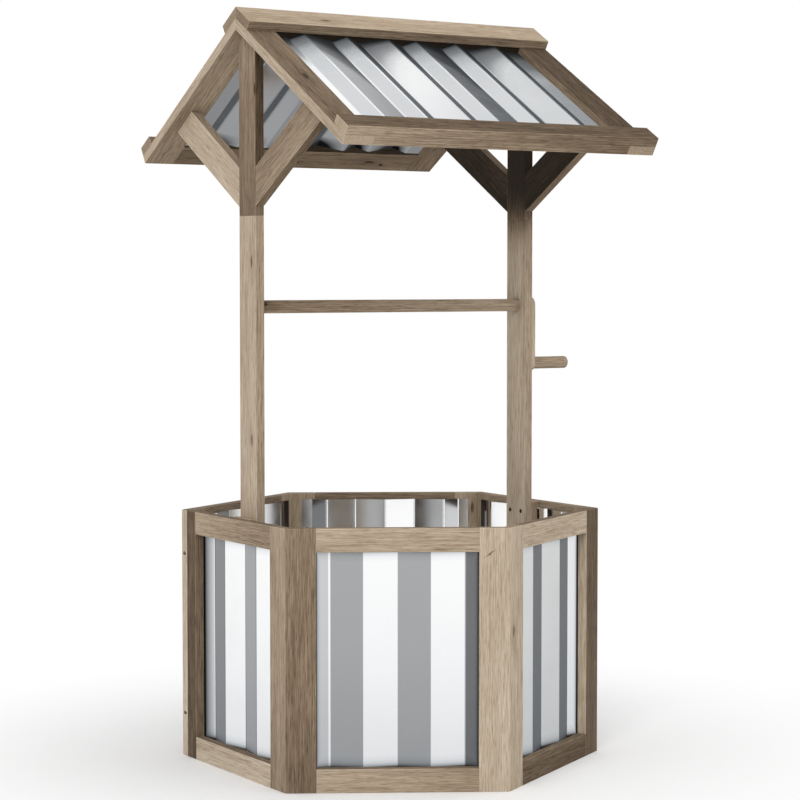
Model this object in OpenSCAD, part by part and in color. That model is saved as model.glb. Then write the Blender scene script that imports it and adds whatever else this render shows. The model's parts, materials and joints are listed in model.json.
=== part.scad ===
// Raised garden bed in the shape of a wishing well: a six-sided timber bed with folded steel
// panels, two posts with braces, a gabled roof and a windlass turned by a crank.
// Z is up, and the ridge and the windlass run along X. The front is towards -Y. The origin is
// on the ground, at the middle of the whole object's length and width: the crank's handle
// reaches past the bed, so this lies a little beyond the bed's own middle. Millimetres.

/* [Bed] */
// Length of each of the six sides, from corner to corner
side_l = 400; // [370:5:460]
// Height of the bed
bed_h = 473; // [380:1:560]
// Thickness of every board
board_t = 18; // [16:1:20]
// Width of the upright boards at the corners
stile_w = 55; // [50:1:70]
// Width of the top and bottom boards of a side
rail_w = 43; // [41:1:60]

/* [Bed joinery] */
// Length of the tenons on the rails of the bed and of the roof
tenon_l = 20; // [10:1:26]
// Thickness of the tenons
tenon_t = 6; // [4:0.5:7]
// Shoulder above and below each tenon
tenon_shoulder = 7; // [5:1:12]
// Thickness of the loose tongue in each mitred corner
tongue_t = 3; // [2:0.5:4]
// Width of the loose tongues
tongue_w = 12; // [8:1:14]
// Distance from the top and the bottom of the bed to the ends of a tongue
tongue_end = 30; // [20:1:60]
// Depth of the middle of a tongue behind the outer face of the bed
tongue_depth = 11; // [10:0.5:12]

/* [Steel sheets] */
// Thickness of the steel
sheet_t = 0.6; // [0.5:0.1:0.8]
// Depth of the folds
fold_d = 12; // [8:0.5:13]
// Width of a narrow face between two folds
narrow_fold = 30; // [24:1:34]
// Width of the flat flange behind each stile of the bed
flange_w = 21; // [18:1:22]
// Distance from a corner of the bed back to the edge of its sheet
sheet_inset = 28; // [26:1:30]
// Distance that a sheet of the bed reaches behind its rails
sheet_lap = 30; // [20:1:34]
// Width of the flat margin beside each stile of the roof
roof_margin = 31; // [20:1:40]
// Depth of the roof sheet's highest folds below the top of the roof frame
roof_sheet_drop = 1; // [0.5:0.5:2]
// Depth of the grooves in the roof stiles that hold the sheet
groove_d = 8; // [5:1:12]

/* [Posts and braces] */
// Width of the posts
post_w = 62; // [56:1:74]
// Gap between the sheet's deepest folds and the post
post_gap = 5.3; // [3:0.1:12]
// Height of the packers behind the rails
packer_h = 38; // [30:1:39]
// Gap around the packers in the notches of the sheet
notch_gap = 2; // [1:0.5:2]
// Distance from the ridge down to the foot of the braces
brace_drop = 342; // [310:1:380]
// Distance from the foot of the braces down to the joint in the posts
post_joint_drop = 17; // [4:1:40]
// Width of the braces
brace_w = 62; // [50:1:64]
// Slope of the braces, in degrees
brace_pitch = 31; // [28:1:36]

/* [Roof] */
// Height of the roof frames' top faces where they meet at the ridge
ridge_h = 1388; // [1360:1:1460]
// Pitch of the roof, in degrees
roof_pitch = 31; // [28:1:34]
// Length of the roof frames down the slope
slope_l = 451; // [420:1:500]
// Distance from a post's outer face to the gable
gable_out = 23; // [22:1:60]
// Width of the boards down the slope at the gables
roof_stile_w = 60; // [50:1:70]
// Width of the board along the eave
eave_rail_w = 60; // [50:1:70]
// Width of the board along the ridge
ridge_rail_w = 45; // [40:1:48]
// Width of the ridge caps
ridge_cap_w = 49; // [46:1:60]
// Width of the trims on top of the eaves
eave_trim_w = 42; // [36:1:50]

/* [Windlass] */
// Height of the windlass's axis
windlass_h = 862; // [760:1:960]
// Width of the square bar
bar_w = 24; // [22:1:32]
// Diameter of the bar's round journals
journal_d = 20; // [19:0.5:21.5]
// Depth of the blind bore in the left post
blind_bore = 12; // [8:1:14]
// Width of the square tenon in the crank arm
arm_tenon_w = 13; // [10:0.5:13]
// Depth of the sockets in the crank arm
arm_socket = 12; // [8:1:14]
// Width of the crank arm
arm_w = 31; // [26:1:36]
// Distance from the windlass's axis to the handle's axis
crank_throw = 115; // [80:1:150]
// Diameter of the handle
handle_d = 24; // [20:1:28]
// Length of the handle beyond the arm
handle_l = 85; // [70:1:120]
// Radius of the rounding at the handle's end
handle_round = 4; // [2:0.5:6]
// Diameter of the handle's tenon
handle_tenon_d = 14; // [10:1:16]

/* [Fasteners] */
// Diameter of the wooden dowels
dowel_d = 8; // [6:1:10]
// Length of a dowel in each of its two boards
dowel_half = 14; // [10:1:15]
// Distance of the dowels from a post's centre line
dowel_out = 16; // [12:1:18]
// Diameter of the wood screws' shanks
screw_d = 4; // [3.5:0.5:4.5]
// Diameter of the wood screws' heads
screw_head_d = 8; // [7:0.5:9]
// Depth of the wood screws' countersunk heads
screw_head_h = 2.4; // [2:0.1:3]
// Length of a wood screw in the last board that it reaches
screw_bite = 12; // [8:1:14]
// Distance of the ridge and eave screws either side of the middle
roof_screw_out = 200; // [120:5:230]
// Distance of the packer screws from a post's centre line
packer_screw_out = 18; // [12:1:20]
// Diameter of the closing screws' heads
closing_head_d = 6; // [5:0.5:6.5]
// Length of the closing screws
closing_screw_l = 25; // [18:1:26]
// Distance of the closing screws from the top and the bottom of the bed
closing_screw_end = 83; // [60:1:120]
// Diameter of the sheet screws' shanks
sheet_screw_d = 3.5; // [3:0.5:4]
// Diameter of the sheet screws' heads
sheet_screw_head_d = 8; // [6:0.5:9]
// Height of the sheet screws' heads
sheet_screw_head_h = 2.2; // [1.5:0.1:3]
// Length of the sheet screws in the stile
sheet_screw_bite = 12; // [8:1:14]
// Distance of the sheet screws from the top and the bottom of the bed
sheet_screw_end = 110; // [60:1:140]

/* [Clearances] */
// Radial clearance of the windlass's journals in the posts
run_clear = 0.05; // [0.02:0.01:0.1]
// Gap at the posts' faces beside the turning parts
end_gap = 0.3; // [0.2:0.1:1]
// Glue gap around tenons, tongues and dowels
glue_gap = 0.1; // [0.05:0.05:0.2]
// Gap around screws and between the roof sheets and their frames
fit_gap = 0.2; // [0.1:0.1:0.3]

/* [Hidden] */
$fn = 48;
// Far enough to cut right through a board
through = 40;
half_side = side_l / 2;
apothem = half_side / tan(30);
stile_edge = half_side - stile_w;
// How far a board's end moves along the side over the board's thickness
mitre_run = board_t * tan(30);
// Width of the bevelled edge that shows at a closing corner
edge_strip = board_t / cos(30);
sheet_half = half_side - sheet_inset;
side_crest = sheet_half - flange_w;
side_wide_fold = (side_crest - narrow_fold) / 2;

packer_t = fold_d + sheet_t + post_gap;
post_out = apothem - board_t - packer_t;
post_in = post_out - board_t;
post_mid = (post_out + post_in) / 2;
half_post = post_w / 2;
brace_foot_h = ridge_h - brace_drop;
post_joint_h = brace_foot_h - post_joint_drop;

roof_half = post_out + gable_out;
roof_open = roof_half - roof_stile_w;
roof_wide_fold = (roof_open - roof_margin - 4 * narrow_fold) / 2;
// How far the plumb cut at the ridge moves along the slope over a board's thickness
plumb_run = board_t * tan(roof_pitch);
roof_valley = roof_sheet_drop + fold_d;
brace_cut = brace_w / cos(brace_pitch);
// How far the bed's middle lies from the origin, with the handle's end as far out on the
// other side as the bed's or the roof's end
reach_left = max(apothem, roof_half);
reach_right = max(reach_left, post_out + end_gap + board_t + handle_l);
bed_x = (reach_left - reach_right) / 2;
// Tongue, dowel and screw places that follow from the sizes above
tongue_r = side_l - tongue_depth / cos(30);
closing_sink = closing_head_d / 2 * tan(60) + fit_gap;
flange_mid = sheet_half - flange_w / 2;
eave_screw_s = slope_l - eave_trim_w / 2;
ridge_screw_s = ridge_cap_w / 2;
brace_top_y = (brace_roof_y(0) + brace_roof_y(brace_cut)) / 2;
brace_top_s = (brace_top_y + board_t * sin(roof_pitch)) / cos(roof_pitch);

light_oak = "#a89c86";
mid_oak = "#93856e";
dark_oak = "#71634f";
steel = "#c9ccd0";
screw_steel = "#4c4a48";

// Name, direction it faces, and its left and right corners seen from outside. At a closing
// corner the "over" board laps the edge of the "under" board.
PANELS = [
    ["left", 180, "under", "mitre"],
    ["front_left", 240, "mitre", "mitre"],
    ["front_right", 300, "mitre", "over"],
    ["right", 0, "under", "mitre"],
    ["back_right", 60, "mitre", "mitre"],
    ["back_left", 120, "mitre", "over"]
];
PANEL_PARTS = ["left_stile", "right_stile", "top_rail", "bottom_rail", "sheet"];
// Name and turn about Z of each post and of each roof slope
POSTS = [["left", 180], ["right", 0]];
POST_PARTS = ["lower_post", "upper_post", "front_brace", "rear_brace"];
SLOPES = [["front", 180], ["rear", 0]];
SLOPE_PARTS = [
    "roof_left_stile", "roof_right_stile", "roof_eave_rail", "roof_ridge_rail",
    "roof_sheet", "roof_eave_trim", "roof_ridge_cap"
];

// Height of the roof frames' underside at a distance from the ridge
function roof_under(y) = ridge_h - abs(y) * tan(roof_pitch) - board_t / cos(roof_pitch);

// Distance from the ridge at which a brace's edge, this high above its foot, meets the roof
function brace_roof_y(up) =
    (roof_under(0) - brace_foot_h - up + half_post * tan(brace_pitch))
    / (tan(brace_pitch) + tan(roof_pitch));

// A folded line from its right half, which starts on the middle line
function both_halves(half) = concat(
    [for (i = [len(half) - 1:-1:1]) [-half[i][0], half[i][1]]],
    half
);

// Moves a piece drawn about the bed's middle to its place from the origin
module placed() {
    translate([bed_x, 0, 0]) children();
}

// A block between two opposite corners
module block(low, high) {
    translate(low) cube(high - low);
}

// Local X points out of the side, Y runs to its right seen from outside
module at_side(angle) {
    rotate([0, 0, angle]) translate([apothem, 0, 0]) children();
}

// Local Y runs down the slope from the ridge, Z points out of the roof
module on_slope(turn) {
    rotate([0, 0, turn]) translate([0, 0, ridge_h]) rotate([-roof_pitch, 0, 0]) children();
}

// Extrudes an outline drawn in Y and Z along X, from one X to another
module along_x(from, to) {
    translate([from, 0, 0]) rotate([90, 0, 90]) linear_extrude(to - from) children();
}

// Outline of a folded sheet; its line gives the outer face
module sheet_outline(half) {
    line = both_halves(half);
    polygon(concat(line, [for (i = [len(line) - 1:-1:0]) line[i] - [0, sheet_t]]));
}

// A countersunk screw along Z, with the top of its head at zero
module wood_screw(length, gap = 0) {
    cylinder(h = length + gap, r = screw_d / 2 + gap);
    cylinder(h = screw_head_h + gap, r1 = screw_head_d / 2 + gap, r2 = screw_d / 2 + gap);
}

// Tenons of a rail of the bed, drawn as one bar through the rail
module rail_tenons(angle, low, gap = 0) {
    at_side(angle) block(
        [-(board_t + tenon_t) / 2 - gap, -stile_edge - tenon_l - gap, low + tenon_shoulder - gap],
        [-(board_t - tenon_t) / 2 + gap, stile_edge + tenon_l + gap,
            low + rail_w - tenon_shoulder + gap]
    );
}

// Loose tongue in the mitre of the corner at this direction from the middle
module tongue(corner, gap = 0) {
    rotate([0, 0, corner]) block(
        [tongue_r - tongue_t / 2 - gap, -tongue_w / 2 - gap, tongue_end - gap],
        [tongue_r + tongue_t / 2 + gap, tongue_w / 2 + gap, bed_h - tongue_end + gap]
    );
}

// Screws through the bevelled edge of a closing corner, placed from the "under" side
module closing_screws(angle, gap = 0) {
    at_side(angle)
        for (z = [closing_screw_end, bed_h - closing_screw_end])
            translate([0, edge_strip / 2 - half_side, z]) rotate([0, 90, 120])
                translate([0, 0, closing_sink]) {
                    cylinder(h = closing_screw_l + gap, r = screw_d / 2 + gap);
                    cylinder(h = screw_head_h, r1 = closing_head_d / 2 + gap,
                        r2 = screw_d / 2 + gap);
                    if (gap > 0) translate([0, 0, -2 * closing_sink])
                        cylinder(h = 2 * closing_sink, r = closing_head_d / 2 + gap);
                }
}

// Screws through a sheet's flanges into its stiles; the gap draws only their holes
module flange_screws(angle, gap = 0) {
    at_side(angle)
        for (y = [-flange_mid, flange_mid], z = [sheet_screw_end, bed_h - sheet_screw_end])
            translate([-board_t - sheet_t, y, z]) rotate([0, 90, 0]) {
                cylinder(h = sheet_t + sheet_screw_bite + gap, r = sheet_screw_d / 2 + gap);
                if (gap == 0) translate([0, 0, -sheet_screw_head_h])
                    cylinder(h = sheet_screw_head_h, r = sheet_screw_head_d / 2);
            }
}

module panel_stile(angle, end, corner) {
    outer = half_side - (corner == "under" ? edge_strip : 0);
    inner = half_side + (corner == "over" ? mitre_run : -mitre_run);
    color(end > 0 ? light_oak : dark_oak) difference() {
        at_side(angle) linear_extrude(bed_h) polygon([
            [0, end * stile_edge], [0, end * outer],
            [-board_t, end * inner], [-board_t, end * stile_edge]
        ]);
        rail_tenons(angle, 0, glue_gap);
        rail_tenons(angle, bed_h - rail_w, glue_gap);
        flange_screws(angle, fit_gap);
        if (corner == "mitre") tongue(angle + end * 30, glue_gap);
        if (corner == "over") closing_screws(angle + 60, fit_gap);
        if (corner == "under") closing_screws(angle, fit_gap);
    }
}

// A rail of the bed, with its lower edge at this height; the sides that carry a post
// take its packer screws
module panel_rail(angle, low) {
    color(mid_oak) difference() {
        union() {
            at_side(angle)
                block([-board_t, -stile_edge, low], [0, stile_edge, low + rail_w]);
            rail_tenons(angle, low);
        }
        if (angle % 180 == 0) packer_screws(angle, fit_gap);
    }
}

module panel_sheet(angle) {
    valley = -board_t - fold_d;
    half = [
        [0, valley], [side_wide_fold, -board_t], [2 * side_wide_fold, valley],
        [side_crest, -board_t], [sheet_half, -board_t]
    ];
    low = rail_w - sheet_lap;
    high = bed_h - low;
    notch = half_post + notch_gap;
    color(steel) difference() {
        at_side(angle) rotate([0, 0, -90]) translate([0, 0, low])
            linear_extrude(high - low) sheet_outline(half);
        flange_screws(angle, fit_gap);
        if (angle % 180 == 0) at_side(angle) {
            block([-through - board_t, -notch, 0], [0, notch, packer_h + notch_gap]);
            block([-through - board_t, -notch, bed_h - packer_h - notch_gap], [0, notch, bed_h]);
        }
    }
}

// Screws from a post's inner face through a packer into each rail
module packer_screws(turn, gap = 0) {
    rotate([0, 0, turn])
        for (y = [-packer_screw_out, packer_screw_out], z = [packer_h / 2, bed_h - packer_h / 2])
            translate([post_in, y, z]) rotate([0, 90, 0])
                wood_screw(board_t + packer_t + screw_bite, gap);
}

module post_packers() {
    color(mid_oak) for (p = POSTS) difference() {
        rotate([0, 0, p[1]]) for (z = [0, bed_h - packer_h])
            block([post_out, -half_post, z], [post_out + packer_t, half_post, z + packer_h]);
        packer_screws(p[1], fit_gap);
    }
}

// Dowels in the joint between the two boards of a post
module splice_dowels(turn, gap = 0) {
    rotate([0, 0, turn]) for (y = [-dowel_out, dowel_out])
        translate([post_mid, y, post_joint_h - dowel_half - gap])
            cylinder(h = 2 * (dowel_half + gap), r = dowel_d / 2 + gap);
}

// Dowels from the top of a post into the roof's stiles
module ridge_dowels(turn, gap = 0) {
    rotate([0, 0, turn]) for (y = [-dowel_out, dowel_out])
        translate([post_mid, y, roof_under(y) - dowel_half - gap])
            cylinder(h = 2 * (dowel_half + gap), r = dowel_d / 2 + gap);
}

// Dowels from the feet of a post's two braces into the post
module foot_dowels(turn, gap = 0) {
    rotate([0, 0, turn]) for (side = [-1, 1], up = [0.32, 0.7])
        translate([post_mid, side * (half_post - dowel_half - gap), brace_foot_h + up * brace_cut])
            rotate([-90 * side, 0, 0])
                cylinder(h = 2 * (dowel_half + gap), r = dowel_d / 2 + gap);
}

// Dowel from the top of the brace under one slope at one post, square to the slope
module brace_dowel(turn, x, gap = 0) {
    on_slope(turn) translate([x, brace_top_s, -board_t - dowel_half - gap])
        cylinder(h = 2 * (dowel_half + gap), r = dowel_d / 2 + gap);
}

module journal_bore(length) {
    translate([post_in, 0, windlass_h]) rotate([0, 90, 0])
        cylinder(h = length, r = journal_d / 2 + run_clear, $fn = 96);
}

module lower_post(turn) {
    color(light_oak) difference() {
        rotate([0, 0, turn]) difference() {
            block([post_in, -half_post, 0], [post_out, half_post, post_joint_h]);
            if (turn == 0) journal_bore(through);
            else journal_bore(blind_bore);
        }
        packer_screws(turn, fit_gap);
        splice_dowels(turn, glue_gap);
    }
}

module upper_post(turn) {
    color(dark_oak) difference() {
        rotate([0, 0, turn]) along_x(post_in, post_out) polygon([
            [-half_post, post_joint_h], [half_post, post_joint_h],
            [half_post, roof_under(half_post)], [0, roof_under(0)],
            [-half_post, roof_under(half_post)]
        ]);
        splice_dowels(turn, glue_gap);
        ridge_dowels(turn, glue_gap);
        foot_dowels(turn, glue_gap);
    }
}

// side is 1 for the brace towards local Y, and slope is the turn of the roof over it
module brace(turn, side, slope) {
    low_y = brace_roof_y(0);
    high_y = brace_roof_y(brace_cut);
    color(mid_oak) difference() {
        rotate([0, 0, turn]) along_x(post_in, post_out) polygon([
            [side * half_post, brace_foot_h], [side * low_y, roof_under(low_y)],
            [side * high_y, roof_under(high_y)], [side * half_post, brace_foot_h + brace_cut]
        ]);
        foot_dowels(turn, glue_gap);
        brace_dowel(slope, turn == slope ? post_mid : -post_mid, glue_gap);
    }
}

// A board along the slope's length between two distances from the ridge, on top of or
// within the frame; a board that starts at the ridge has a plumb cut there
module slope_board(from, to, low, high, s_start, s_end) {
    along_x(from, to) polygon([
        [s_start == 0 ? -low * tan(roof_pitch) : s_start, low], [s_end, low],
        [s_end, high], [s_start == 0 ? -high * tan(roof_pitch) : s_start, high]
    ]);
}

// Tenons of the two rails of a roof frame, drawn as one bar through each rail
module roof_tenons(turn, gap = 0) {
    out = roof_open + tenon_l + gap;
    low = -(board_t + tenon_t) / 2 - gap;
    high = -(board_t - tenon_t) / 2 + gap;
    on_slope(turn) {
        block([-out, plumb_run + tenon_shoulder - gap, low],
            [out, ridge_rail_w - tenon_shoulder + gap, high]);
        block([-out, slope_l - eave_rail_w + tenon_shoulder - gap, low],
            [out, slope_l - tenon_shoulder + gap, high]);
    }
}

// Screws from under the rails into the ridge cap and the eave trim
module roof_screws(turn, gap = 0) {
    on_slope(turn)
        for (x = [-roof_screw_out, 0, roof_screw_out], s = [ridge_screw_s, eave_screw_s])
            translate([x, s, -board_t]) wood_screw(board_t + screw_bite, gap);
}

// side is 1 for the stile at the slope's local +X
module roof_stile(turn, side) {
    inner = side * roof_open;
    outer = side * roof_half;
    groove_low = -roof_valley - sheet_t - fit_gap;
    groove_end = side * (roof_open + groove_d + fit_gap);
    color(side > 0 ? light_oak : mid_oak) difference() {
        on_slope(turn) difference() {
            slope_board(min(inner, outer), max(inner, outer), -board_t, 0, 0, slope_l);
            block([min(inner, groove_end), ridge_rail_w, groove_low],
                [max(inner, groove_end), slope_l - eave_rail_w, -roof_valley + fit_gap]);
        }
        roof_tenons(turn, glue_gap);
        for (p = POSTS) ridge_dowels(p[1], glue_gap);
        brace_dowel(turn, side * post_mid, glue_gap);
    }
}

module roof_eave_rail(turn) {
    color(mid_oak) difference() {
        union() {
            on_slope(turn)
                slope_board(-roof_open, roof_open, -board_t, 0, slope_l - eave_rail_w, slope_l);
            intersection() {
                roof_tenons(turn);
                on_slope(turn) slope_board(-roof_half, roof_half, -board_t, 0,
                    slope_l - eave_rail_w, slope_l);
            }
        }
        roof_screws(turn, fit_gap);
    }
}

module roof_ridge_rail(turn) {
    color(dark_oak) difference() {
        union() {
            on_slope(turn) slope_board(-roof_open, roof_open, -board_t, 0, 0, ridge_rail_w);
            intersection() {
                roof_tenons(turn);
                on_slope(turn) slope_board(-roof_half, roof_half, -board_t, 0, 0, ridge_rail_w);
            }
        }
        roof_screws(turn, fit_gap);
    }
}

module roof_sheet(turn) {
    crest = -roof_sheet_drop;
    valley = -roof_valley;
    first = narrow_fold + roof_wide_fold;
    half = [
        [0, valley], [narrow_fold, crest], [first, valley], [first + narrow_fold, crest],
        [first + 2 * narrow_fold, valley], [2 * first + narrow_fold, crest],
        [2 * first + 2 * narrow_fold, valley], [roof_open + groove_d, valley]
    ];
    high_end = ridge_rail_w + fit_gap;
    low_end = slope_l - eave_rail_w - fit_gap;
    color(steel) on_slope(turn) translate([0, low_end, 0]) rotate([90, 0, 0])
        linear_extrude(low_end - high_end) sheet_outline(half);
}

module roof_eave_trim(turn) {
    color(mid_oak) difference() {
        on_slope(turn)
            slope_board(-roof_half, roof_half, 0, board_t, slope_l - eave_trim_w, slope_l);
        roof_screws(turn, fit_gap);
    }
}

module roof_ridge_cap(turn) {
    color(mid_oak) difference() {
        on_slope(turn) slope_board(-roof_half, roof_half, 0, board_t, 0, ridge_cap_w);
        roof_screws(turn, fit_gap);
    }
}

// The square bar, its two journals and the square tenon that drives the arm
module windlass_bar() {
    bar_end = post_in - end_gap;
    arm_in = post_out + end_gap;
    color(mid_oak) translate([0, 0, windlass_h]) {
        block([-bar_end, -bar_w / 2, -bar_w / 2], [bar_end, bar_w / 2, bar_w / 2]);
        translate([-post_in - blind_bore + end_gap, 0, 0]) rotate([0, 90, 0])
            cylinder(h = blind_bore + bar_w, r = journal_d / 2, $fn = 96);
        translate([bar_end - bar_w, 0, 0]) rotate([0, 90, 0])
            cylinder(h = arm_in - bar_end + bar_w, r = journal_d / 2, $fn = 96);
        block([bar_end - bar_w, -arm_tenon_w / 2, -arm_tenon_w / 2],
            [arm_in + arm_socket, arm_tenon_w / 2, arm_tenon_w / 2]);
    }
}

module crank_arm() {
    arm_in = post_out + end_gap;
    socket_half = arm_tenon_w / 2 + glue_gap;
    color(light_oak) translate([arm_in, 0, windlass_h]) difference() {
        union() {
            for (z = [0, -crank_throw]) translate([0, 0, z]) rotate([0, 90, 0])
                cylinder(h = board_t, r = arm_w / 2, $fn = 96);
            block([0, -arm_w / 2, -crank_throw], [board_t, arm_w / 2, 0]);
        }
        block([-through, -socket_half, -socket_half],
            [arm_socket + glue_gap, socket_half, socket_half]);
        translate([board_t - arm_socket - glue_gap, 0, -crank_throw]) rotate([0, 90, 0])
            cylinder(h = through, r = handle_tenon_d / 2 + glue_gap);
    }
}

module crank_handle() {
    arm_out = post_out + end_gap + board_t;
    r = handle_d / 2;
    color(mid_oak) translate([arm_out, 0, windlass_h - crank_throw]) rotate([0, 90, 0]) {
        rotate_extrude($fn = 96) {
            square([r - handle_round, handle_l]);
            square([r, handle_l - handle_round]);
            translate([r - handle_round, handle_l - handle_round]) circle(handle_round);
        }
        translate([0, 0, -arm_socket]) cylinder(h = arm_socket + handle_round, r = handle_tenon_d / 2);
    }
}

module corner_tongues() {
    color(light_oak) for (p = PANELS) if (p[3] == "mitre") tongue(p[1] + 30);
}

module dowels() {
    color(light_oak) for (p = POSTS) {
        splice_dowels(p[1]);
        ridge_dowels(p[1]);
        foot_dowels(p[1]);
    }
    color(light_oak) for (s = SLOPES, x = [-post_mid, post_mid]) brace_dowel(s[1], x);
}

module wood_screws() {
    color(screw_steel) for (turn = [0, 180]) {
        closing_screws(turn);
        packer_screws(turn);
        roof_screws(turn);
    }
}

module sheet_screws() {
    color(screw_steel) for (p = PANELS) flange_screws(p[1]);
}

for (p = PANELS) {
    name = str(p[0], "_panel_");
    placed() panel_stile(p[1], -1, p[2]);
    placed() panel_stile(p[1], 1, p[3]);
    placed() panel_rail(p[1], bed_h - rail_w);
    placed() panel_rail(p[1], 0);
    placed() panel_sheet(p[1]);
}
for (p = POSTS) {
    name = str(p[0], "_");
    front = p[1] == 0 ? -1 : 1;
    placed() lower_post(p[1]);
    placed() upper_post(p[1]);
    placed() brace(p[1], front, 180);
    placed() brace(p[1], -front, 0);
}
for (s = SLOPES) {
    name = str(s[0], "_roof_");
    left = s[1] == 0 ? -1 : 1;
    placed() roof_stile(s[1], left);
    placed() roof_stile(s[1], -left);
    placed() roof_eave_rail(s[1]);
    placed() roof_ridge_rail(s[1]);
    placed() roof_sheet(s[1]);
    placed() roof_eave_trim(s[1]);
    placed() roof_ridge_cap(s[1]);
}
placed() post_packers();
placed() windlass_bar();
placed() crank_arm();
placed() crank_handle();
placed() corner_tongues();
placed() dowels();
placed() wood_screws();
placed() sheet_screws();
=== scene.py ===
"""Raised garden bed in the shape of a wishing well: its boards, sheets and screws as they look."""

import json
import math
import random

import bmesh
import bpy
from mathutils import Matrix, Vector


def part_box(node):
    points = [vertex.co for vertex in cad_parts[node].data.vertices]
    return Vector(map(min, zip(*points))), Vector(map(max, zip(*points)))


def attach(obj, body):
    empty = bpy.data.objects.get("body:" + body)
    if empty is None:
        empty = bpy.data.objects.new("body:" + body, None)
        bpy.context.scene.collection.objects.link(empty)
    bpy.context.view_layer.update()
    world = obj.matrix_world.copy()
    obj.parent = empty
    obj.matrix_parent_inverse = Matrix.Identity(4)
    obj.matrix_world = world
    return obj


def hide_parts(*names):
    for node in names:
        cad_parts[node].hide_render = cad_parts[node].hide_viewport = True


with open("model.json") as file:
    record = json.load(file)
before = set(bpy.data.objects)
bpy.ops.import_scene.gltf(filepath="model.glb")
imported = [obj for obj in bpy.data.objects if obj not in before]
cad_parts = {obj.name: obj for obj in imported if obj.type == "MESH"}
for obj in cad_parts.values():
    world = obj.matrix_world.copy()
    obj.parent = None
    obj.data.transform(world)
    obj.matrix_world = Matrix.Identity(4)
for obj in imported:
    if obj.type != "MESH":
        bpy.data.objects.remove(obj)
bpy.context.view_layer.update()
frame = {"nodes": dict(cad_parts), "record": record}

# Directions, and sizes in metres as in the part's source
X = Vector((1, 0, 0))
Y = Vector((0, 1, 0))
UP = Vector((0, 0, 1))
PANELS = {"left": 180, "front_left": 240, "front_right": 300,
          "right": 0, "back_right": 60, "back_left": 120}
ENDS = {"left": 180, "right": 0}
SLOPES = {"front": -1, "rear": 1}
ROOF_PITCH = math.radians(31)
BRACE_PITCH = math.radians(31)
RIDGE_H = 1.388
SLOPE_L = 0.451
BED_H = 0.473
HALF_SIDE = 0.2
APOTHEM = HALF_SIDE / math.tan(math.radians(30))
BOARD_T = 0.018
RAIL_W = 0.043
SHEET_T = 0.0006
FOLD_D = 0.012
NARROW_FOLD = 0.030
SHEET_INSET = 0.028
SHEET_LAP = 0.030
FLANGE_W = 0.021
ROOF_MARGIN = 0.031
ROOF_SHEET_DROP = 0.001
GROOVE_D = 0.008
ROOF_STILE_W = 0.060
EAVE_RAIL_W = 0.060
RIDGE_RAIL_W = 0.045
CAP_W = 0.049
EAVE_TRIM_W = 0.042
POST_W = 0.062
PACKER_H = 0.038
NOTCH_GAP = 0.002
FIT_GAP = 0.0002
SCREW_BITE = 0.012
SHEET_SCREW_END = 0.110
PACKER_SCREW_OUT = 0.018
ROOF_SCREW_OUT = 0.2
CLOSING_SCREW_END = 0.083
CLOSING_HEAD_R = 0.003

# Rounding of the folded sheets' bends, and the width taken off the boards' sharp edges
BEND_R = 0.010
ARRIS_W = 0.0011
# Points nearer than this are one, and so are faces that are flatter than this to each other
MERGE_D = 1e-6
FLAT_ANGLE = math.radians(0.5)
# Bends in steel and wood smoother than this are shaded round
SMOOTH_ANGLE = math.radians(20)
# A face looks a certain way where its normal reaches this far along it
FACING = 0.5

# A small split beside one corner: how far right of the side's middle, how high, and its slant.
# It is widest in its middle and wanders, mostly by a millimetre
SPLIT = {"board": "front_left_panel_right_stile", "panel": "front_left", "across": 0.1630,
         "height": 0.4260, "slant": math.radians(36), "length": 0.040, "half_width": 0.0016,
         "wander": 0.004, "soft_edge": 0.0012, "darker": 0.42}
# For other boards, a place so far from the split that none of it shows
NO_SPLIT = (9, 9, 9)

# The faces of three boards that look away from the roof's shade are as light as the left ones
OUTER_TONES = {"right_upper_post": 0.45, "right_front_brace": 0.59, "right_rear_brace": 0.70}

# The eave rails' edges behind the sheets get a dark tone: painted shade
PAINTED_SHADE_EDGES = {"boards": ("front_roof_eave_rail", "rear_roof_eave_rail"), "tone": 0.12}

# Under the roof the right post's other faces get darker: by how much, and from how far below the
# joint of its two boards to how far above it
SHADED = {"boards": ("right_lower_post", "right_upper_post"), "darker": 0.86,
          "below": 0.070, "above": 0.078, "edges_higher": 0.016}

# Boards that the closing screws are sunk into, and the dark tone painted inside their bores as
# shade, whose faces are small and askew
BORED = {"boards": ("back_left_panel_right_stile", "front_right_panel_right_stile"),
         "tone": -0.3, "largest_face": 1e-4, "askew": 0.97}

# Painted shade and reflection of the ridge caps reach this far below them
CAP_SHADE_L = 0.150
# The exponent of its fading on flat facets, and how often that doubles with a facet's lean
CAP_SHADE_FADE = {"flat": 1.5, "doublings": 2.85}
# On facets wider than this that lean more than this it ends at a slant: by how much
SLANTED = {"wider_than": 0.035, "leaning": 0.05, "facing_left": 0.38, "facing_right": -0.5}
# Painted shade under the roof's sheets along the eaves: how far it reaches, and its strength
# there, where 1 hides the zinc
EAVE_SHADE = {"length": 0.034, "strength": 2.0}
# Beside the stiles the steel gets painted shade up to this far from a corner of the bed
BOARD_SHADE_W = 0.060
# No painted shade from the boards reaches the roof's sheets: the boards count as this much further
# away
ROOF_NO_BOARD_SHADE = 0.02
# A sheet without notches is drawn out in steps too, of which the first and last are this long
PLAIN_STEP = 0.02

# The bed's middle lies a little to the left of the origin
left_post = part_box("left_lower_post")
right_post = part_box("right_lower_post")
MIDDLE = Vector(((left_post[0].x + right_post[1].x) / 2, 0, 0))
POST_IN = right_post[0].x - MIDDLE.x
ROOF_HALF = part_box("front_roof_ridge_cap")[1].x - MIDDLE.x
POST_JOINT_H = right_post[1].z


def side_axes(degrees):
    """Out of a side of the bed, and to its right as seen from outside."""
    turn = math.radians(degrees)
    out = Vector((math.cos(turn), math.sin(turn), 0))
    return out, UP.cross(out)


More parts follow.
